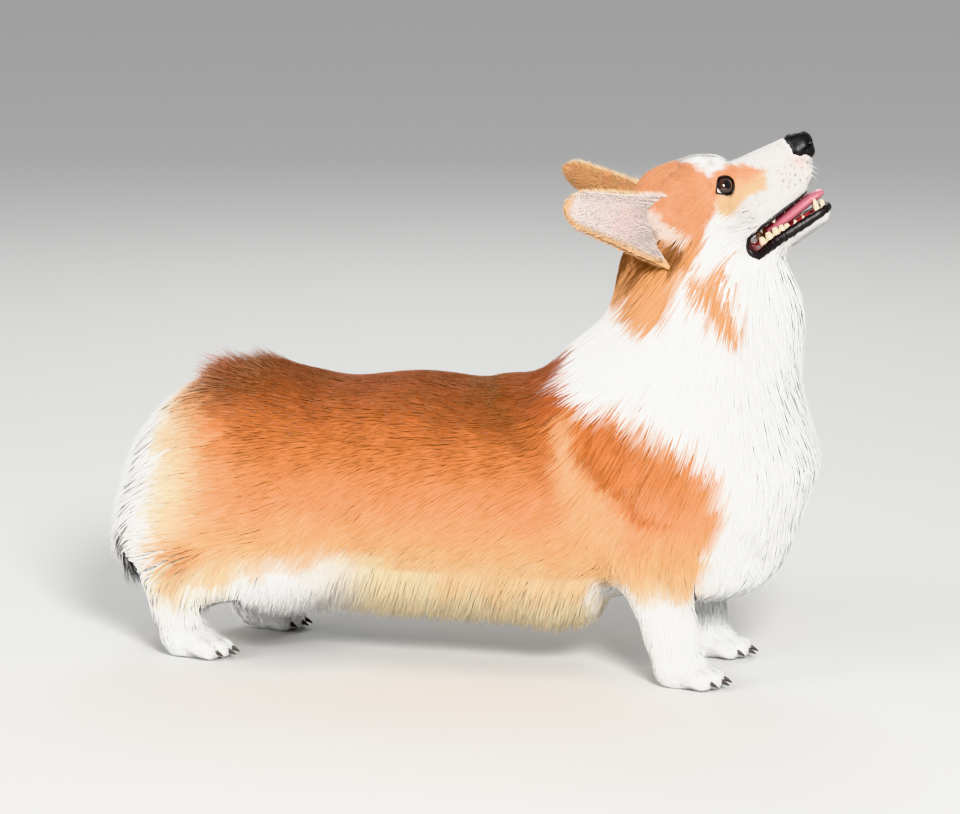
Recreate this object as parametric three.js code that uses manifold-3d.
// A Pembroke Welsh corgi standing square with its head thrown up, as a life-size still model.
// Units are millimetres. +X runs from the rump to the chest, +Y is the dog's left side and +Z is up.
// The flesh is one smooth field of tapered capsules, each laid along a bone or a muscle. The field is
// meshed once for every body part and parted with thin plane cuts, so neighbours meet face to face.
// Long coat (ruff, bib, breeches, belly fringe, tail) grows on a core as rows of flat, tapered locks,
// and each lock belongs to the part that it is rooted in.
import * as THREE from "three";
import { mergeVertices } from "three/addons/utils/BufferGeometryUtils.js";
import Module from "manifold-3d";

const wasm = await Module();
wasm.setup();

// Driving dimensions
const GAP = 0.3; // clear space that touching parts keep
const BACK_Z = 259; // height of the topline over the coat
const BARREL_R = 97; // widest ribs, over the coat
const STANCE_FRONT_Y = 61; // half the distance between the forelegs
const STANCE_HIND_Y = 63; // half the distance between the hind feet
const FORELEG_X = 200; // forearm, measured from the middle of the back
const HOCK_X = -266; // point of the hind leg where the foot turns down
const HEAD_AT = [237, 12, 449]; // between the eyes, on the brow line
const HEAD_YAW = 15; // degrees, turned to the dog's left
const HEAD_PITCH = 25; // degrees, nose lifted
const MOUTH_OPEN = 18; // degrees between the two lip lines
const EAR_LENGTH = 107;
const EYE_R = 9.5;
const HIND_STEP = 30; // how far the left hind foot stands ahead of the right

// Depth of the coat over the skin, by region
const COAT = { body: 12, belly: 20, ruff: 34, breech: 34, leg: 7, paw: 4, skull: 4, cheek: 12, muzzle: 2.5 };
const CORE_SHARE = 0.5; // how far the core under long locks reaches through its coat

const vec = (x, y, z) => new THREE.Vector3(x, y, z);
const rad = THREE.MathUtils.degToRad;
const lerp = THREE.MathUtils.lerp;

// The head has a frame of its own: x along the muzzle, y to the dog's left, z out of the brow.
const headMatrix = new THREE.Matrix4()
  .makeTranslation(...HEAD_AT)
  .multiply(new THREE.Matrix4().makeRotationZ(rad(HEAD_YAW)))
  .multiply(new THREE.Matrix4().makeRotationY(-rad(HEAD_PITCH)));
const headInverse = headMatrix.clone().invert();

// A form is a capsule from one point to another, with a radius of flesh at each end and a coat over it.
const bodyForms = [];
const headForms = [];
function form(list, from, to, rFrom, rTo, { coat, long = false, wide = 1, blend = 24 }) {
  const over = long ? coat * CORE_SHARE : coat;
  const axis = to.map((v, n) => v - from[n]);
  const len2 = Math.max(axis[0] ** 2 + axis[1] ** 2 + axis[2] ** 2, 1e-6);
  list.push({ from, axis, len2, rFrom: rFrom + over, rTo: rTo + over, wide, blend });
}
const body = (...args) => form(bodyForms, ...args);
const head = (...args) => form(headForms, ...args);

// Trunk, from the loin to the forechest
const { body: SHORT, belly: BELLY, ruff: RUFF, breech: BREECH, leg: LEG, paw: PAW } = COAT;
const ribR = BARREL_R - SHORT;
const ribZ = BACK_Z - BARREL_R;
body([95, 0, ribZ + 1], [-45, 0, ribZ + 3], ribR, ribR - 3, { coat: SHORT, blend: 30 });
body([-45, 0, BACK_Z - 92], [-190, 0, BACK_Z - 90], 78, 76, { coat: SHORT });
body([-186, 0, BACK_Z - 84], [-236, 0, BACK_Z - 96], 74, 62, { coat: SHORT });
body([135, 0, 184], [60, 0, 184], 64, 66, { coat: SHORT, wide: 0.95 });
body([80, 0, 107], [-125, 0, 106], 32, 30, { coat: BELLY, long: true, wide: 1.35 });
body([224, 0, 188], [222, 0, 140], 68, 50, { coat: RUFF, long: true });
body([214, 0, 142], [100, 0, 120], 46, 42, { coat: BELLY, long: true });

// Neck and the mantle of the ruff over the withers
body([146, 0, 232], [192, 0, 252], 62, 72, { coat: RUFF, long: true, wide: 0.95 });
body([196, 0, 240], [214, 4, 322], 74, 57, { coat: RUFF, long: true, wide: 0.9 });
body([214, 4, 322], [206, 8, 358], 57, 52, { coat: RUFF, long: true, wide: 0.88 });

// Bobbed tail
const TAIL_ROOT = [-212, 0, 226];
const TAIL_TIP = [-238, 0, 252];
body(TAIL_ROOT, TAIL_TIP, 13, 9, { coat: 12, long: true, blend: 10 });

// Legs, on both sides
const PAW_REACH = 31; // from the pastern to the tips of the middle toes
const TOE_SPREAD = [-15.5, -5.5, 5.5, 15.5];
const TOE_Z = 8.5;
const TOE_TIP = [-4, 4, 4, -4].map((more) => PAW_REACH + more); // the middle toes reach further
const paws = [];
for (const side of [-1, 1]) {
  const front = side * STANCE_FRONT_Y;
  const hind = side * STANCE_HIND_Y;
  const fx = FORELEG_X;
  body([105, side * 44, 220], [230, side * 40, 172], 32, 38, { coat: SHORT });
  body([230, side * 42, 168], [170, side * 50, 128], 35, 32, { coat: SHORT, blend: 28 });
  body([174, side * 55, 118], [fx - 2, front, 46], 26, 18, { coat: LEG, blend: 18 });
  body([fx - 2, front, 46], [fx + 4, front, 20], 17, 16, { coat: LEG, blend: 10 });
  body([-205, side * 28, 168], [-158, side * 45, 112], 50, 40, { coat: SHORT, blend: 30 });
  body([-230, side * 30, 168], [-254, side * 41, 112], 48, 40, { coat: BREECH, long: true });
  const hock = side < 0 ? HOCK_X : HOCK_X + HIND_STEP;
  body([-164, side * 53, 98], [hock + 4, hind, 72], 33, 18, { coat: 9, blend: 18 });
  body([hock, hind, 66], [hock + 8, hind, 22], 16, 15, { coat: LEG, blend: 10 });
  paws.push({ name: side < 0 ? "forepaw_right" : "forepaw_left", x: fx + 2, y: front });
  paws.push({ name: side < 0 ? "hindpaw_right" : "hindpaw_left", x: hock + 12, y: hind });
}
for (const { x, y } of paws) {
  body([x, y, 15], [x + PAW_REACH * 0.45, y, 13], 15, 14, { coat: PAW, blend: 8 });
  TOE_SPREAD.forEach((dy, i) => {
    body([x + 14, y + dy * 0.8, 13], [x + TOE_TIP[i], y + dy, TOE_Z], 8, 6.5, { coat: 2.5, blend: 3 });
  });
}

// Head
const { skull: SKULL, cheek: CHEEK, muzzle: MUZZLE } = COAT;
head([-36, 0, 0], [-58, 0, -2], 27, 27, { coat: SKULL, wide: 1.4, blend: 12 });
head([0, 0, -20], [50, 0, -10], 25, 15.5, { coat: MUZZLE, wide: 0.93, blend: 12 });
head([52, 0, 0], [2, 0, -1], 8, 10, { coat: MUZZLE, wide: 1.1, blend: 8 });
head([-60, 0, -10], [-62, 0, -40], 30, 34, { coat: CHEEK, blend: 14 });
head([50, 0, -64], [-18, 0, -67], 9, 18, { coat: MUZZLE, wide: 1.25, blend: 10 });
for (const side of [-1, 1]) {
  head([-16, side * 13, 9], [-34, side * 17, 8], 9, 13, { coat: SKULL, blend: 10 });
  head([-36, side * 26, -16], [-60, side * 34, -20], 14, 19, { coat: SKULL, blend: 14 });
  head([51, side * 8, -24], [-8, side * 17, -46], 8.5, 10, { coat: MUZZLE, blend: 8 });
  head([-36, side * 18, -50], [-60, side * 24, -46], 13, 21, { coat: CHEEK, blend: 14 });
  head([-56, side * 32, 6], [-72, side * 38, -4], 14, 15, { coat: SKULL, blend: 12 });
}

// Polynomial smooth minimum and maximum
function smin(a, b, k) {
  const h = Math.max(k - Math.abs(a - b), 0) / k;
  return Math.min(a, b) - (h * h * k) / 4;
}
const smax = (a, b, k) => -smin(-a, -b, k);

function reachOf(f, x, y, z) {
  const px = x - f.from[0];
  const py = y - f.from[1];
  const pz = z - f.from[2];
  const along = (px * f.axis[0] + py * f.axis[1] + pz * f.axis[2]) / f.len2;
  const t = Math.min(Math.max(along, 0), 1);
  const dx = px - f.axis[0] * t;
  const dy = (py - f.axis[1] * t) / f.wide;
  const dz = pz - f.axis[2] * t;
  return Math.sqrt(dx * dx + dy * dy + dz * dz) - lerp(f.rFrom, f.rTo, t);
}

const scratch = new THREE.Vector3();
function flesh(x, y, z) {
  let d = 1e6;
  for (const f of bodyForms) d = smin(d, reachOf(f, x, y, z), f.blend);
  const p = scratch.set(x, y, z).applyMatrix4(headInverse);
  if (p.x > -150) {
    let h = 1e6;
    for (const f of headForms) h = smin(h, reachOf(f, p.x, p.y, p.z), f.blend);
    d = smin(d, h, 14);
  }
  return d;
}

// Surface nets: one vertex in each cell that the surface crosses, pulled onto it along the gradient.
function meshField(field, low, high, cell) {
  const count = [0, 1, 2].map((i) => Math.ceil((high[i] - low[i]) / cell) + 1);
  const [nx, ny, nz] = count;
  const at = (i, j, k) => i + nx * (j + ny * k);
  const values = new Float64Array(nx * ny * nz);
  for (let k = 0; k < nz; k++)
    for (let j = 0; j < ny; j++)
      for (let i = 0; i < nx; i++) {
        const rim = i === 0 || j === 0 || k === 0 || i === nx - 1 || j === ny - 1 || k === nz - 1;
        const v = field(low[0] + i * cell, low[1] + j * cell, low[2] + k * cell);
        values[at(i, j, k)] = rim ? Math.max(v, cell * 0.5) : v || 1e-9;
      }
  const corners = [];
  for (let c = 0; c < 8; c++) corners.push([c & 1, (c >> 1) & 1, (c >> 2) & 1]);
  const edges = [];
  for (let a = 0; a < 8; a++)
    for (let b = a + 1; b < 8; b++) if ([1, 2, 4].includes(a ^ b)) edges.push([a, b]);
  const positions = [];
  const vertexOf = new Map();
  for (let k = 0; k < nz - 1; k++)
    for (let j = 0; j < ny - 1; j++)
      for (let i = 0; i < nx - 1; i++) {
        const v = corners.map(([a, b, c]) => values[at(i + a, j + b, k + c)]);
        const sum = [0, 0, 0];
        let crossed = 0;
        for (const [a, b] of edges) {
          if (v[a] < 0 === v[b] < 0) continue;
          const t = v[a] / (v[a] - v[b]);
          for (let n = 0; n < 3; n++) sum[n] += lerp(corners[a][n], corners[b][n], t);
          crossed++;
        }
        if (!crossed) continue;
        const start = [i, j, k].map((n, m) => low[m] + (n + sum[m] / crossed) * cell);
        vertexOf.set(at(i, j, k), positions.length / 3);
        positions.push(...pulledOn(field, start, cell * 0.4));
      }
  const triangles = [];
  const quad = (a, b, c, d, flip) => {
    const far = (p, q) => {
      let s = 0;
      for (let n = 0; n < 3; n++) s += (positions[3 * p + n] - positions[3 * q + n]) ** 2;
      return s;
    };
    const pair = far(a, c) < far(b, d) ? [a, b, c, a, c, d] : [a, b, d, b, c, d];
    triangles.push(...(flip ? pair.reverse() : pair));
  };
  for (let k = 0; k < nz - 1; k++)
    for (let j = 0; j < ny - 1; j++)
      for (let i = 0; i < nx - 1; i++) {
        const inside = values[at(i, j, k)] < 0;
        const cellAt = (a, b, c) => vertexOf.get(at(i - a, j - b, k - c));
        if (inside !== values[at(i + 1, j, k)] < 0)
          quad(cellAt(0, 1, 1), cellAt(0, 0, 1), cellAt(0, 0, 0), cellAt(0, 1, 0), !inside);
        if (inside !== values[at(i, j + 1, k)] < 0)
          quad(cellAt(1, 0, 1), cellAt(1, 0, 0), cellAt(0, 0, 0), cellAt(0, 0, 1), !inside);
        if (inside !== values[at(i, j, k + 1)] < 0)
          quad(cellAt(1, 1, 0), cellAt(0, 1, 0), cellAt(0, 0, 0), cellAt(1, 0, 0), !inside);
      }
  return solidFrom(new Float32Array(positions), new Uint32Array(triangles));
}

function pulledOn(field, start, most) {
  const p = [...start];
  const e = 0.5;
  for (let step = 0; step < 3; step++) {
    const d = field(...p);
    const g = [
      (field(p[0] + e, p[1], p[2]) - field(p[0] - e, p[1], p[2])) / (2 * e),
      (field(p[0], p[1] + e, p[2]) - field(p[0], p[1] - e, p[2])) / (2 * e),
      (field(p[0], p[1], p[2] + e) - field(p[0], p[1], p[2] - e)) / (2 * e),
    ];
    const g2 = Math.max(g[0] ** 2 + g[1] ** 2 + g[2] ** 2, 0.05);
    for (let n = 0; n < 3; n++) p[n] -= (d * g[n]) / g2;
  }
  return p.map((v, n) => start[n] + Math.min(Math.max(v - start[n], -most), most));
}

function solidFrom(vertProperties, triVerts) {
  return new wasm.Manifold(new wasm.Mesh({ numProp: 3, vertProperties, triVerts }));
}

// A three.js geometry, placed by a matrix, as a solid
function solidOf(geometry, matrix = new THREE.Matrix4()) {
  const bare = geometry.clone().applyMatrix4(matrix);
  bare.deleteAttribute("normal");
  bare.deleteAttribute("uv");
  const merged = mergeVertices(bare, 1e-4);
  return solidFrom(new Float32Array(merged.attributes.position.array), new Uint32Array(merged.index.array));
}

// A cutting block between two corners, in the frame of a matrix
function block(low, high, matrix = new THREE.Matrix4()) {
  const size = high.map((v, n) => v - low[n]);
  const middle = high.map((v, n) => (v + low[n]) / 2);
  const place = matrix.clone().multiply(new THREE.Matrix4().makeTranslation(...middle));
  return solidOf(new THREE.BoxGeometry(...size), place);
}

// A skin of rings laid one after the other; an end ring of one point closes to a tip
function loft(rings, closed = false) {
  const positions = [];
  const index = [];
  const starts = rings.map((ring) => {
    const start = positions.length / 3;
    ring.forEach((p) => positions.push(p.x, p.y, p.z));
    return start;
  });
  const count = closed ? rings.length : rings.length - 1;
  for (let r = 0; r < count; r++) {
    const [a, b] = [r, (r + 1) % rings.length];
    const sides = Math.max(rings[a].length, rings[b].length);
    for (let i = 0; i < sides; i++) {
      const j = (i + 1) % sides;
      const [ai, aj] = rings[a].length === 1 ? [starts[a], starts[a]] : [starts[a] + i, starts[a] + j];
      const [bi, bj] = rings[b].length === 1 ? [starts[b], starts[b]] : [starts[b] + i, starts[b] + j];
      if (bi !== bj) index.push(ai, bi, bj);
      if (ai !== aj) index.push(ai, bj, aj);
    }
  }
  const cap = (r, flip) => {
    for (let i = 1; i < rings[r].length - 1; i++) {
      const [a, b, c] = [starts[r], starts[r] + i, starts[r] + i + 1];
      index.push(...(flip ? [a, c, b] : [a, b, c]));
    }
  };
  if (!closed) {
    cap(0, false);
    cap(rings.length - 1, true);
  }
  return solidFrom(new Float32Array(positions), new Uint32Array(index));
}

// A ring around a point: ahead is the way of the loft, over is the way of the second half-width
function ring(at, ahead, over, halfWide, halfDeep, sides = 4) {
  const t = ahead.clone().normalize();
  const b = t.clone().cross(over).normalize();
  const n = b.clone().cross(t).normalize();
  return Array.from({ length: sides }, (_, i) => {
    const turn = (i / sides) * 2 * Math.PI;
    const p = at.clone().addScaledVector(b, halfWide * Math.cos(turn));
    return p.addScaledVector(n, halfDeep * Math.sin(turn));
  });
}

// A round rope through points, with a radius at each
function rope(points, radii, { sides = 6, closed = false, over = vec(0.1, 0, 1) } = {}) {
  const last = points.length - 1;
  const rings = points.map((p, i) => {
    const before = closed ? points[(i + last) % (last + 1)] : points[Math.max(i - 1, 0)];
    const after = closed ? points[(i + 1) % (last + 1)] : points[Math.min(i + 1, last)];
    return ring(p, after.clone().sub(before), over, radii[i], radii[i], sides);
  });
  return loft(rings, closed);
}

const FAR = 900;
const half = GAP / 2;
const slab = (x0, x1, y0, y1, z0, z1) => block([x0, y0, z0], [x1, y1, z1]);
const joined = (solids) => solids.reduce((a, b) => a.add(b));
function largest(solid) {
  return solid.decompose().reduce((a, b) => (b.volume() > a.volume() ? b : a));
}

// Parting planes, each through a point of the side view with a slope
const NECK_TOP = { x: 215, z: 386, slope: -28 / 150 };
const NECK_BASE = { x: 210, z: 241.5, slope: -53 / 240 };
const CHEST_X = 120;
const LOIN_X = -118;
const RUMP_X = -150;
const ELBOW_Z = 94;
const WRIST_Z = 30;
const THIGH_TOP_Z = 162;
const BREECH_TOP_Z = 222;
const BREECH_X = -226;
const HOCK_Z = 79;
const HIND_PAW_Z = 28;
const ELBOW_Y = 24; // inside of the elbow; the thighs meet on the midline
const FORELEG_SPAN = [132, 268];
function planeFrame({ x, z, slope }) {
  const tilt = new THREE.Matrix4().makeRotationY(-Math.atan(slope));
  return new THREE.Matrix4().makeTranslation(x, 0, z).multiply(tilt);
}
const above = (plane) => block([-FAR, -FAR, half], [FAR, FAR, FAR], planeFrame(plane));
const below = (plane) => block([-FAR, -FAR, -FAR], [FAR, FAR, -half], planeFrame(plane));
const inFrontOf = (x) => slab(x + half, FAR, -FAR, FAR, -FAR, FAR);
const behind = (x) => slab(-FAR, x - half, -FAR, FAR, -FAR, FAR);
const overLevel = (z) => slab(-FAR, FAR, -FAR, FAR, z + half, FAR);

const PAINT = {
  red: { color: 0xb4652b, roughness: 0.9 },
  white: { color: 0xe9e2d6, roughness: 0.9 },
  black: { color: 0x1a1718, roughness: 0.45 },
  iris: { color: 0x3a2013, roughness: 0.15 },
  tongue: { color: 0xc9686f, roughness: 0.5 },
  earSkin: { color: 0xd9a98c, roughness: 0.85 },
};
const paints = Object.fromEntries(
  Object.entries(PAINT).map(([name, { color, roughness }]) => [
    name,
    new THREE.MeshStandardMaterial({ name, color, roughness, metalness: 0 }),
  ]),
);

const dog = new THREE.Group();
dog.name = "pembroke_welsh_corgi";
function place(name, paint, solid) {
  const mesh = largest(solid).getMesh();
  const geometry = new THREE.BufferGeometry();
  geometry.setAttribute("position", new THREE.BufferAttribute(new Float32Array(mesh.vertProperties), 3));
  geometry.setIndex(new THREE.BufferAttribute(new Uint32Array(mesh.triVerts), 1));
  geometry.computeVertexNormals();
  const m = new THREE.Mesh(geometry, paints[paint]);
  m.name = name;
  dog.add(m);
}
const ground = slab(-FAR, FAR, -FAR, FAR, 0, FAR);
const fleshIn = (low, high, cell) => meshField(flesh, low, high, cell);

// Long coat: flat, tapered locks rooted in the core, each row lying over the roots of the next
const LOCK = {
  mantle: { long: 50, wide: 18, thick: 6, over: 20 },
  ruff: { long: 76, wide: 18, thick: 6.5, over: COAT.ruff },
  bib: { long: 84, wide: 17, thick: 7, over: COAT.ruff },
  breech: { long: 66, wide: 16, thick: 6.5, over: COAT.breech + 6 },
  fringe: { long: 56, wide: 15, thick: 5, over: COAT.belly + 6 },
  plume: { long: 30, wide: 8, thick: 4.5, over: 14, straight: true },
};
const LOCK_STOPS = [
  { t: 0, wide: 0.7, rise: -0.35, thick: 0.5 },
  { t: 0.34, wide: 1, rise: 0.15, thick: 1 },
  { t: 0.7, wide: 0.78, rise: 0.7, thick: 0.8 },
]; // rise is the share of the way from the core to the tips
let seed = 11;
function draw() {
  // Seeded, from -1 to 1
  seed = (seed + 0x6d2b79f5) | 0;
  let t = Math.imul(seed ^ (seed >>> 15), 1 | seed);
  t = (t + Math.imul(t ^ (t >>> 7), 61 | t)) ^ t;
  return ((t ^ (t >>> 14)) >>> 0) / 2147483648 - 1;
}
function outOf(p) {
  const e = 1;
  return vec(
    flesh(p.x + e, p.y, p.z) - flesh(p.x - e, p.y, p.z),
    flesh(p.x, p.y + e, p.z) - flesh(p.x, p.y - e, p.z),
    flesh(p.x, p.y, p.z + e) - flesh(p.x, p.y, p.z - e),
  ).normalize();
}
function settled(p, depth) {
  for (let step = 0; step < 3; step++) p.addScaledVector(outOf(p), depth - flesh(p.x, p.y, p.z));
  return p;
}
// A lock belongs to the part it is rooted in; its room is what a part under it gives way to
const coat = [];
function lock(home, { long, wide, thick, over, straight = false }, root, lie) {
  const length = long * (1 + 0.16 * draw());
  const width = wide * (1 + 0.14 * draw());
  const rise = over * (1 - CORE_SHARE) * (1 + 0.12 * draw());
  const sway = 0.22 * draw();
  const bend = 0.3 * draw();
  const p = settled(root.clone(), LOCK_STOPS[0].rise * rise);
  let out = outOf(p);
  const stations = LOCK_STOPS.map((stop, i) => {
    if (!straight) out = outOf(p);
    const way = lie.clone().addScaledVector(out, -lie.dot(out)).normalize();
    way.addScaledVector(way.clone().cross(out), sway + bend * stop.t).normalize();
    const right = way.clone().cross(out).normalize();
    const at = p.clone();
    const next = LOCK_STOPS[i + 1] ?? { t: 1, rise: 1 };
    p.addScaledVector(way, (next.t - stop.t) * length);
    if (straight) p.addScaledVector(out, (next.rise - stop.rise) * rise);
    else settled(p, next.rise * rise);
    return { at, way, right, out: out.clone(), wide: width * stop.wide, thick: thick * stop.thick };
  });
  const shape = (grow) => {
    const spot = (q, side, up) => q.at.clone().addScaledVector(q.right, side).addScaledVector(q.out, up);
    const rings = stations.map((q) => {
      const reach = q.wide + grow * (1 + (2 * q.wide) / q.thick);
      return [spot(q, reach, -grow), spot(q, 0, q.thick + grow), spot(q, -reach, -grow)];
    });
    return loft([...rings, [p.clone().addScaledVector(stations.at(-1).way, 3 * grow)]]);
  };
  coat.push({ home, solid: shape(0), room: shape(GAP) });
}

// The surface of the core, seen from a point inside it
function surfaceFrom(inside, way) {
  const p = inside.clone();
  for (let step = 0; step < 60; step++) p.addScaledVector(way, Math.max(-flesh(p.x, p.y, p.z), 0.2));
  return p;
}

// Ruff, mantle and bib: rows round the neck and the front of the chest, from the throat down
const COLLAR = [
  { z: 370, x: 208, y: 8, from: 38, to: 322 },
  { z: 336, x: 212, y: 5, from: -180, to: 180 },
  { z: 300, x: 205, y: 2, from: -180, to: 180 },
  { z: 264, x: 195, y: 0, from: -125, to: 125 },
  { z: 228, x: 200, y: 0, from: -82, to: 82 },
  { z: 192, x: 205, y: 0, from: -60, to: 60 },
  { z: 156, x: 205, y: 0, from: -48, to: 48 },
  { z: 122, x: 205, y: 0, from: -36, to: 36 },
]; // angles in degrees round the neck, from straight ahead
const inNeck = ({ x, z }) => z > NECK_BASE.z + (x - NECK_BASE.x) * NECK_BASE.slope;
const COLLAR_STEP = 37; // across a row, between the middles of two locks
COLLAR.forEach(({ z, x, y, from, to }, row) => {
  const middle = vec(x, y, z);
  const radius = surfaceFrom(middle, vec(0.6, -0.8, 0)).distanceTo(middle);
  const arc = rad(to - from) * radius;
  const whole = to - from === 360;
  const count = Math.max(Math.round(arc / COLLAR_STEP), 2);
  for (let i = 0; i < count; i++) {
    const share = (i + (whole ? (row % 2) / 2 : 0.5) + 0.16 * draw()) / count;
    const turn = rad(lerp(from, to, share));
    const root = surfaceFrom(middle.clone().setZ(z + 7 * draw()), vec(Math.cos(turn), Math.sin(turn), 0));
    const front = Math.max(Math.cos(turn), 0);
    const back = Math.max(-Math.cos(turn), 0);
    const size = back > 0.3 ? LOCK.mantle : front > 0.75 ? LOCK.bib : LOCK.ruff;
    const lie = vec(-0.42 + 0.5 * front - 0.9 * back, 0, -1 + 0.35 * back);
    lock(inNeck(root) ? "neck" : "chest", size, root, lie);
  }
});

// Breeches: rows round the back of the thighs, from the tail down
const BREECHES = [
  { z: 212, from: 128, to: 232 },
  { z: 176, from: 112, to: 248 },
  { z: 142, from: 98, to: 262 },
  { z: 110, from: 104, to: 256 },
];
const BREECH_AT = { x: -222, z: 150 };
const BREECH_STEP = 38;
BREECHES.forEach(({ z, from, to }) => {
  const middle = vec(BREECH_AT.x, 0, z);
  const radius = surfaceFrom(middle, vec(-0.6, -0.8, 0)).distanceTo(middle);
  const count = Math.round((rad(to - from) * radius) / BREECH_STEP);
  for (let i = 0; i < count; i++) {
    const turn = rad(lerp(from, to, (i + 0.5 + 0.16 * draw()) / count));
    const root = surfaceFrom(middle.clone().setZ(z + 7 * draw()), vec(Math.cos(turn), Math.sin(turn), 0));
    const back = Math.max(-Math.cos(turn), 0);
    lock("breeches", LOCK.breech, root, vec(-0.9 + 0.5 * back, 0, -0.45 - 0.5 * back));
  }
});

// Fringe along both sides of the belly
const FRINGE = { from: 70, to: -96, count: 6, turn: 38 };
for (const side of [-1, 1])
  for (let i = 0; i < FRINGE.count; i++) {
    const x = lerp(FRINGE.from, FRINGE.to, (i + 0.5 + 0.2 * draw()) / FRINGE.count);
    const turn = rad(FRINGE.turn + 8 * draw());
    const root = surfaceFrom(vec(x, 0, 110), vec(0, side * Math.sin(turn), -Math.cos(turn)));
    lock("torso", LOCK.fringe, root, vec(-1, side * 0.15, -0.5));
  }

// Plume round the tip of the tail
const PLUME = 5;
const tailWay = vec(...TAIL_TIP).sub(vec(...TAIL_ROOT)).normalize();
for (let i = 0; i < PLUME; i++) {
  const around = vec(0, 1, 0).applyAxisAngle(tailWay, ((i + 0.2 * draw()) / PLUME) * 2 * Math.PI);
  lock("tail", LOCK.plume, surfaceFrom(vec(...TAIL_TIP).addScaledVector(tailWay, -6), around), tailWay);
}

// A part with its own locks, giving way to the locks of other parts that hang over it
function furred(home, core, overhung = []) {
  const { min, max } = core.boundingBox();
  const near = ({ room }) => {
    const box = room.boundingBox();
    return [0, 1, 2].every((n) => box.max[n] > min[n] && box.min[n] < max[n]);
  };
  const own = coat.filter((one) => one.home === home).map((one) => one.solid);
  const hanging = coat.filter((one) => overhung.includes(one.home) && near(one)).map((one) => one.room);
  const whole = wasm.Manifold.union([core, ...own]);
  return hanging.length ? whole.subtract(wasm.Manifold.union(hanging)) : whole;
}

// Trunk and neck
const legSides = [["right", -1], ["left", 1]];
const legRoom = (side, inside, x0, x1, top, grow) => {
  const [y0, y1] = side < 0 ? [-FAR, -inside + grow] : [inside - grow, FAR];
  return slab(x0 - grow, x1 + grow, y0, y1, -FAR, top + grow);
};
const foreCut = (side, grow) => legRoom(side, ELBOW_Y, ...FORELEG_SPAN, ELBOW_Z, grow);
const thighCut = (side, grow) => legRoom(side, 0, BREECH_X, LOIN_X, THIGH_TOP_Z, grow);
const breechCut = (grow) => slab(-FAR, BREECH_X + grow, -FAR, FAR, HOCK_Z - grow, BREECH_TOP_Z + grow);
const shinCut = (side, grow) => legRoom(side, 0, -FAR, LOIN_X, HOCK_Z, grow);
const TAIL_PLUG = { radius: 30, sunk: 14, length: 70 }; // the tail sits in the rump like a plug
function tailCut(grow) {
  const up = vec(...TAIL_TIP).sub(vec(...TAIL_ROOT)).normalize();
  const turn = new THREE.Matrix4().makeRotationFromQuaternion(
    new THREE.Quaternion().setFromUnitVectors(vec(0, 1, 0), up),
  );
  const foot = vec(...TAIL_TIP).addScaledVector(up, -TAIL_PLUG.sunk - grow);
  const middle = foot.clone().addScaledVector(up, TAIL_PLUG.length / 2);
  const radius = TAIL_PLUG.radius + grow;
  const rod = new THREE.CylinderGeometry(radius, radius, TAIL_PLUG.length, 20);
  return solidOf(rod, new THREE.Matrix4().makeTranslation(middle.x, middle.y, middle.z).multiply(turn));
}

// The two corners of the box that each stretch of flesh is meshed in, and the size of its cells
const STRETCH = {
  neck: [[60, -120, 190], [340, 130, 430], 26],
  chest: [[90, -125, 40], [345, 125, 310], 27],
  torso: [[-175, -125, 30], [145, 125, 290], 31],
  rump: [[-350, -125, 50], [-125, 125, 290], 28],
  tail: [[-290, -50, 190], [-180, 50, 305], 11],
};
const allThighs = joined(legSides.flatMap(([, side]) => [thighCut(side, half), shinCut(side, half)]));
const allForelegs = joined(legSides.map(([, side]) => foreCut(side, half)));

const neckCore = fleshIn(...STRETCH.neck).intersect(below(NECK_TOP)).intersect(above(NECK_BASE));
place("neck", "white", furred("neck", neckCore));

const front = fleshIn(...STRETCH.chest).intersect(below(NECK_BASE)).intersect(inFrontOf(CHEST_X));
const chest = furred("chest", front.subtract(allForelegs), ["neck"]);
place("chest", "white", chest.intersect(below(NECK_BASE)));

const barrel = fleshIn(...STRETCH.torso).intersect(below(NECK_BASE)).intersect(behind(CHEST_X));
const torsoCore = barrel.intersect(inFrontOf(RUMP_X)).subtract(allThighs);
place("torso", "red", furred("torso", torsoCore, ["neck", "chest"]));

const rumpFlesh = fleshIn(...STRETCH.rump);
const rumpRoom = allThighs.add(breechCut(half));
const rumpCore = rumpFlesh.intersect(behind(RUMP_X)).subtract(rumpRoom).subtract(tailCut(half));
place("rump", "red", furred("rump", rumpCore, ["breeches", "tail"]));
const breechCore = rumpFlesh.intersect(breechCut(-half)).subtract(tailCut(half));
place("breeches", "white", furred("breeches", breechCore, ["tail"]));
place("tail", "red", furred("tail", fleshIn(...STRETCH.tail).intersect(tailCut(-half))));

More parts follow.
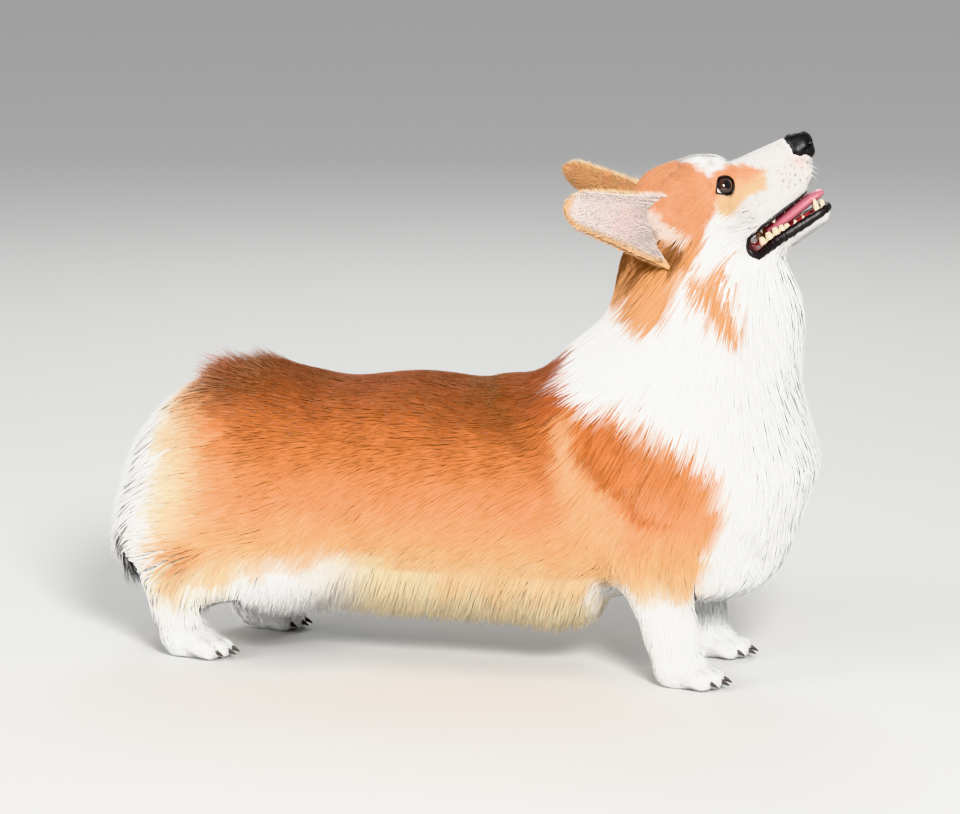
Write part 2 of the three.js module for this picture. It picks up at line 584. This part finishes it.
// Legs
for (const [name, side] of legSides) {
  const [y0, y1] = side < 0 ? [-130, 20] : [-20, 130];
  const fore = fleshIn([120, y0, 10], [280, y1, 120], 15).intersect(foreCut(side, -half));
  place(`foreleg_${name}`, "white", furred("foreleg", fore.intersect(overLevel(WRIST_Z)), ["chest"]));
  const thigh = fleshIn([-345, y0, 50], [-95, y1, 190], 26).intersect(thighCut(side, -half));
  const ham = thigh.intersect(overLevel(HOCK_Z));
  place(`thigh_${name}`, "red", furred("thigh", ham, ["torso", "breeches"]));
  const shin = fleshIn([-330, y0, 10], [-110, y1, 100], 16).intersect(shinCut(side, -half));
  const shank = shin.intersect(overLevel(HIND_PAW_Z));
  place(`hindleg_${name}`, "white", furred("hindleg", shank, ["torso", "breeches"]));
}
const CLAW = { length: 10, radius: 2.6 };
for (const { name, x, y } of paws) {
  const top = name.startsWith("fore") ? WRIST_Z : HIND_PAW_Z;
  const flesh = fleshIn([x - 35, y - 40, -20], [x + 55, y + 40, 50], 11.4);
  const claws = TOE_SPREAD.map((dy, i) => {
    const at = (more, spread, z) => vec(x + TOE_TIP[i] + more, y + dy * spread, z);
    const path = [at(3, 1, 9.5), at(9, 1.04, 8), at(9 + CLAW.length * 0.5, 1.06, 4.5)];
    return rope(path, [CLAW.radius, CLAW.radius * 0.8, 0.5], { sides: 5 });
  });
  const shod = joined([flesh, ...claws]).intersect(ground);
  place(name, "white", shod.intersect(slab(-FAR, FAR, -FAR, FAR, -FAR, top - half)));
}

// Head: every piece below is laid out in the head frame and then carried to the dog
const toDog = (p) => p.clone().applyMatrix4(headMatrix);
const hv = (x, y, z) => toDog(vec(x, y, z));
const fleshAt = (p) => flesh(p.x, p.y, p.z);
const headField = (field) => (x, y, z) => {
  const p = scratch.set(x, y, z).applyMatrix4(headInverse);
  return field(p.x, p.y, p.z);
};
const bead = (from, to, rFrom, rTo, wide = 1) => {
  const axis = to.map((v, n) => v - from[n]);
  return { from, axis, len2: axis[0] ** 2 + axis[1] ** 2 + axis[2] ** 2, rFrom, rTo, wide };
};

// Nose leather: a rounded pad with two wings, a comma of a nostril on each side and a groove below
const nosePads = [
  bead([56, 0, 1], [62, 0, 0], 10.5, 10, 1.15),
  bead([58, 0, -11], [63, 0, -9], 8, 7.5, 1.15),
  bead([56, -8.5, -4], [61, -7.5, -3.5], 6.8, 6.3),
  bead([56, 8.5, -4], [61, 7.5, -3.5], 6.8, 6.3),
];
const nostrils = [-1, 1].flatMap((side) => [
  bead([76, side * 4.8, -3], [62, side * 6.8, -2.5], 2.9, 2.4),
  bead([70, side * 7.5, -3.5], [60, side * 15.5, -7], 1.6, 1.4),
]);
const philtrum = bead([77, 0, -6], [69, 0, -22], 1.6, 1.6, 0.6);
function noseLeather(x, y, z) {
  let d = 1e6;
  for (const pad of nosePads) d = smin(d, reachOf(pad, x, y, z), 3.5);
  for (const hole of nostrils) d = smax(d, -reachOf(hole, x, y, z), 1);
  return smax(d, -reachOf(philtrum, x, y, z), 1);
}
function noseSocket(x, y, z) {
  let d = 1e6;
  for (const pad of nosePads) d = smin(d, reachOf(pad, x, y, z), 3.5);
  return d - GAP;
}
const noseAt = hv(61, 0, -1);
const around = (p, r) => [p.toArray().map((v) => v - r), p.toArray().map((v) => v + r)];
place("nose", "black", meshField(headField(noseLeather), ...around(noseAt, 26), 4.2));

// Eyes, each a ball in a socket under an almond of lids
const EYE_AT = [-18, 26, -3.5]; // head frame, for the left eye
const EYE_LOOK = [0.6, 0.78, 0.18]; // the way out of the socket, for the left eye
const EYE_WELL = 6.8; // half-width of the opening between the lids
const LID = { wide: 8.4, high: 7.2, radius: 1.9, steps: 12 };
const sockets = [];
const lids = [];
for (const [name, side] of legSides) {
  const look = vec(EYE_LOOK[0], side * EYE_LOOK[1], EYE_LOOK[2]).normalize();
  const centre = vec(EYE_AT[0], side * EYE_AT[1], EYE_AT[2]);
  const at = toDog(centre);
  const middle = new THREE.Matrix4().makeTranslation(at.x, at.y, at.z);
  const ball = (r) => solidOf(new THREE.IcosahedronGeometry(r, 2), middle);
  place(`eye_${name}`, "iris", ball(EYE_R));
  const well = [3, 9, 24].map((out) => toDog(centre.clone().addScaledVector(look, out)));
  sockets.push(ball(EYE_R + GAP), rope(well, [EYE_WELL, EYE_WELL, EYE_WELL + 2], { sides: 12 }));
  const across = vec(1, 0, 0.25).addScaledVector(look, -look.dot(vec(1, 0, 0.25))).normalize();
  const up = look.clone().cross(across).multiplyScalar(side);
  const lidPath = Array.from({ length: LID.steps }, (_, i) => {
    const turn = (i / LID.steps) * 2 * Math.PI;
    const a = LID.wide * Math.cos(turn);
    const b = LID.high * Math.sin(turn) * (1 - 0.25 * Math.abs(Math.cos(turn)));
    const out = Math.sqrt((EYE_R + 0.6) ** 2 - a * a - b * b);
    const p = centre.clone();
    return toDog(p.addScaledVector(across, a).addScaledVector(up, b).addScaledVector(look, out));
  });
  const over = toDog(look).sub(toDog(vec(0, 0, 0)));
  lids.push(rope(lidPath, Array(LID.steps).fill(LID.radius), { sides: 5, closed: true, over }));
}

// The mouth opens between two lip lines that meet at the corner of the lips.
const MOUTH_CORNER = [-12, -59]; // head frame, x and z
const UPPER_LIP = rad(22.5);
const LOWER_LIP = UPPER_LIP - rad(MOUTH_OPEN);

// Lips: a rounded rim round each side of the mouth, riding on the edge of the flesh
const LIP_SPOKES = [-70, -44, -30, -21, -14, -7, 0, 7, 14, 21, 30, 44, 70]; // degrees
const UPPER_RIM = { lift: 1.4, thin: 2.2, thick: 2.6 };
const LOWER_RIM = { lift: -2.2, thin: 2.8, thick: 3.6 };
function rimPoint(angle, lift, turn) {
  // Walks in from outside along a spoke that starts over the corner of the mouth
  let out = 110;
  const spot = () => {
    const x = MOUTH_CORNER[0] + out * Math.cos(turn);
    const z = MOUTH_CORNER[1] + (x - MOUTH_CORNER[0]) * Math.tan(angle) + lift;
    return hv(x, out * Math.sin(turn), z);
  };
  while (out > 5 && fleshAt(spot()) > -0.3) out -= 0.5;
  return spot();
}
function rim(angle, { lift, thin, thick }) {
  const radii = LIP_SPOKES.map((turn) => lerp(thick, thin, Math.cos(rad(turn)) ** 2));
  return rope(LIP_SPOKES.map((turn) => rimPoint(angle, lift, rad(turn))), radii);
}

// Teeth are pegs rooted in the flesh of the jaws
const TEETH_BELOW = [
  [59, 3, -52, 5, 1.7],
  [54, 9.2, -52, 10.5, 2.4],
  [42, 12.4, -53, 4.5, 2],
  [33, 13.8, -53.6, 5.5, 2.3],
  [23, 15.4, -54.2, 6, 2.8],
]; // x, y and z of the neck of the tooth, height and radius, in the head frame
const TEETH_ABOVE = [
  [60.5, 3.4, -26, 5.5, 1.8],
  [55, 10, -26.5, 9, 2.5],
  [43, 13.4, -33, 4.5, 2.3],
  [32, 15.4, -38, 5.5, 2.7],
];
function pegs(teeth, up) {
  return teeth.flatMap(([x, y, z, tall, radius]) =>
    [-1, 1].map((side) => {
      const at = (height, lean) => hv(x + lean, side * y, z + up * height);
      const over = hv(1, 0, 0).sub(hv(0, 0, 0));
      const path = [at(-5, 0), at(tall * 0.55, 0.6), at(tall, 1)];
      return rope(path, [radius, radius * 0.75, 0.35], { sides: 5, over });
    }),
  );
}

// The jaw is everything in front of the corner of the mouth and under the line of the lower lip.
// The muzzle is the face in front of the cheeks; the head is the skull behind it.
const FACE_X = -31;
const underLip = (angle, grow) => {
  const frame = headMatrix
    .clone()
    .multiply(new THREE.Matrix4().makeTranslation(MOUTH_CORNER[0], 0, MOUTH_CORNER[1]))
    .multiply(new THREE.Matrix4().makeRotationY(-angle));
  return block([-grow, -80, -90], [130, 80, grow], frame);
};
const faceCut = (grow) => block([FACE_X - grow, -90, -160], [120, 90, 80], headMatrix);
const HOLLOW_STOPS = [-0.12, 0, 0.5, 1, 1.12];
const HOLLOW_SHARES = [0.4, 1, 1, 1, 0.4];
const hollow = (from, to, radii) => {
  const path = HOLLOW_STOPS.map((t) => hv(lerp(from[0], to[0], t), 0, lerp(from[1], to[1], t)));
  const radius = (t) => lerp(radii[0], radii[1], Math.min(Math.max(t, 0), 1));
  return rope(path, HOLLOW_STOPS.map((t, i) => HOLLOW_SHARES[i] * radius(t)), { sides: 10 });
};
const palate = hollow([6, -46], [44, -31], [11, 8.5]);
const FLOOR = { from: [-2, -54], to: [47, -51], radii: [11.5, 8] };
const floor = hollow(FLOOR.from, FLOOR.to, FLOOR.radii);
const HEAD_STRETCH = [[90, -110, 330], [345, 130, 520], 10.5];
const FACE_BALL = [hv(20, 0, -30), 82]; // middle and radius of what reaches round the face
const crown = fleshIn(...HEAD_STRETCH).intersect(above(NECK_TOP));
place("head", "red", crown.subtract(faceCut(half)));
const faceFlesh = fleshIn(...around(...FACE_BALL), 9).intersect(above(NECK_TOP));
const mouthAir = underLip(UPPER_LIP, 0).add(underLip(LOWER_LIP, half));
const noseBed = meshField(headField(noseSocket), ...around(noseAt, 26), 4.2);
const muzzleFlesh = joined([faceFlesh.intersect(faceCut(-half)), ...lids]);
const upper = muzzleFlesh.subtract(joined([mouthAir, palate, noseBed, ...sockets]));
const upperRim = rim(UPPER_LIP, UPPER_RIM).subtract(underLip(LOWER_LIP, half));
place("muzzle", "white", joined([upper, upperRim, ...pegs(TEETH_ABOVE, -1)]));
const lower = faceFlesh.intersect(underLip(LOWER_LIP, -half)).subtract(floor);
const lowerRim = rim(LOWER_LIP, LOWER_RIM).intersect(underLip(LOWER_LIP, 3));
place("jaw_lower", "white", joined([lower, lowerRim, ...pegs(TEETH_BELOW, 1)]));

// Ears: cupped leaves of a soft rim, open to the side; the left one is carried higher
const EARS = [
  { name: "right", side: -1, base: [-76, 45, -22], tip: [-146, 78, 53] },
  { name: "left", side: 1, base: [-75, 45, -18], tip: [-140, 76, 60] },
];
const EAR_ACROSS = [0.738, -0.097, 0.667]; // from the lower edge to the upper edge, for the left ear
const EAR_THICK = 3.2;
const earWide = [18, 23, 26.5, 27, 25.5, 22, 17, 10.5, 4];
const earCurl = [78, 68, 56, 47, 40, 34, 30, 26, 22];
const EAR_SPAN = 7; // steps from edge to edge
const clearOfHead = meshField((x, y, z) => flesh(x, y, z) - 2 * GAP, ...HEAD_STRETCH);
for (const { name, side, base, tip } of EARS) {
  const mirror = ([x, y, z]) => vec(x, side * y, z);
  const root = mirror(base);
  const way = mirror(tip).sub(root).normalize();
  const across = mirror(EAR_ACROSS);
  across.addScaledVector(way, -way.dot(across)).normalize();
  const open = way.clone().cross(across).multiplyScalar(side);
  if (open.y * side < 0) open.negate();
  const rings = earWide.map((wide, k) => {
    const t = k / (earWide.length - 1);
    const at = root.clone().addScaledVector(way, EAR_LENGTH * t);
    const curl = rad(earCurl[k]);
    const thick = EAR_THICK * (1 - 0.35 * t);
    const point = (v, inset) => {
      const turn = v * curl;
      const r = wide / Math.sin(curl);
      const p = at.clone().addScaledVector(across, (r - inset) * Math.sin(turn));
      return p.addScaledVector(open, r * Math.cos(curl) - (r - inset) * Math.cos(turn));
    };
    const outside = Array.from({ length: EAR_SPAN + 1 }, (_, i) => point(-1 + (2 * i) / EAR_SPAN, 0));
    const inside = Array.from({ length: EAR_SPAN + 1 }, (_, i) => point(0.94 - (1.88 * i) / EAR_SPAN, thick));
    const loop = [...outside, ...inside].map(toDog);
    return side < 0 ? loop : loop.reverse();
  });
  const leaf = loft(rings).subtract(clearOfHead).intersect(above(NECK_TOP));
  place(`ear_${name}`, "earSkin", furred("ear", leaf, ["neck"]));
}

// The tongue lies on the floor of the mouth
const TONGUE = [
  [19, -51.5, 9, 3.6],
  [34, -49.8, 9.2, 4.3],
  [48, -47.3, 7, 3.8],
  [57, -44, 6, 2.8],
  [64, -43, 3.8, 1.6],
]; // x, z, half-width and half-depth of each ring, in the head frame
const tongue = loft(
  TONGUE.map(([x, z, wide, deep]) =>
    Array.from({ length: 12 }, (_, i) => {
      const turn = (-i / 12) * 2 * Math.PI;
      const groove = i === 9 ? 0.55 : 1;
      return hv(x, wide * Math.cos(turn), z + deep * Math.sin(turn) * groove);
    }),
  ),
);
const overFloor = underLip(LOWER_LIP, 40).subtract(underLip(LOWER_LIP, GAP));
const inFloor = hollow(FLOOR.from, FLOOR.to, FLOOR.radii.map((r) => r - 2 * GAP));
const { lift, thin, thick } = LOWER_RIM;
const rimClear = rim(LOWER_LIP, { lift, thin: thin + 2 * GAP, thick: thick + 2 * GAP });
place("tongue", "tongue", tongue.intersect(overFloor.add(inFloor)).subtract(rimClear));

// The origin is the middle of the foot of the box around the dog
const box = new THREE.Box3().setFromObject(dog);
const foot = box.getCenter(vec(0, 0, 0)).setZ(box.min.z);
for (const mesh of dog.children) mesh.geometry.translate(-foot.x, -foot.y, -foot.z);

export default dog;
